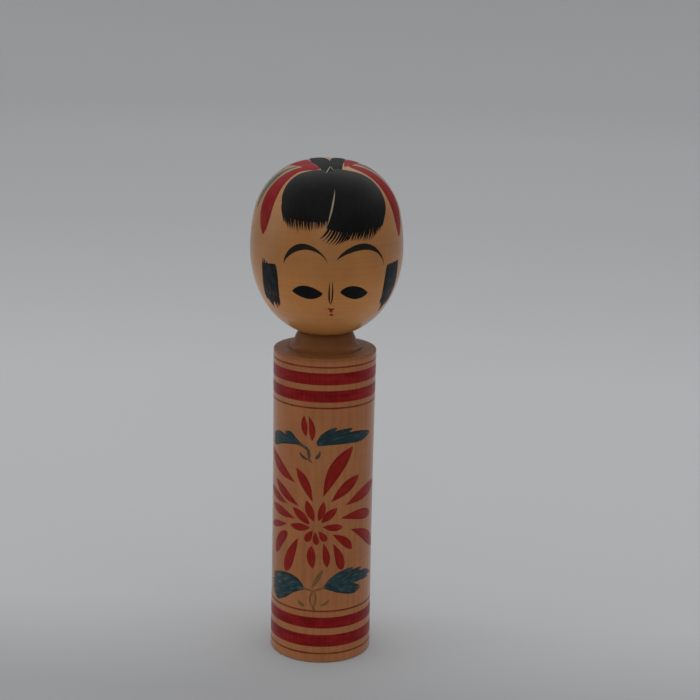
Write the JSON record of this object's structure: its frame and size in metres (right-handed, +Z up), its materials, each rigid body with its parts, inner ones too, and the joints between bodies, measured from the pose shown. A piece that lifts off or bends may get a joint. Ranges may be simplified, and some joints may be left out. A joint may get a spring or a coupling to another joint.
{
  "type": "kokeshi doll",
  "caption": "Turned wooden kokeshi doll: a slender cylindrical body with a flared collar, and a rounded head that turns on a captive neck, both with painted decoration.",
  "frame": {"origin": "centre of the foot ring, on the surface that the doll stands on", "axes": "+Z up along the turning axis; the body's painted front faces -Y"},
  "size_m": [0.0722, 0.0722, 0.242],
  "materials": {
    "turned_wood": "turned smooth and waxed, with faint lathe rings",
    "black_ink": "brushed black ink on wood, waxed",
    "red_dye": "thin red dye on wood, waxed, with the grain showing through",
    "green_dye": "thin blue-green dye on wood, waxed, with the grain showing through"
  },
  "bodies": {
    "body": {"body": "turned_wood"},
    "head": {"head": "turned_wood"}
  },
  "joints": [
    {"name": "head_turn", "type": "hinge", "parent": "body", "child": "head", "pos_m": [0, 0, 0.1605], "axis": [0, 0, 1], "continuous": true}
  ]
}
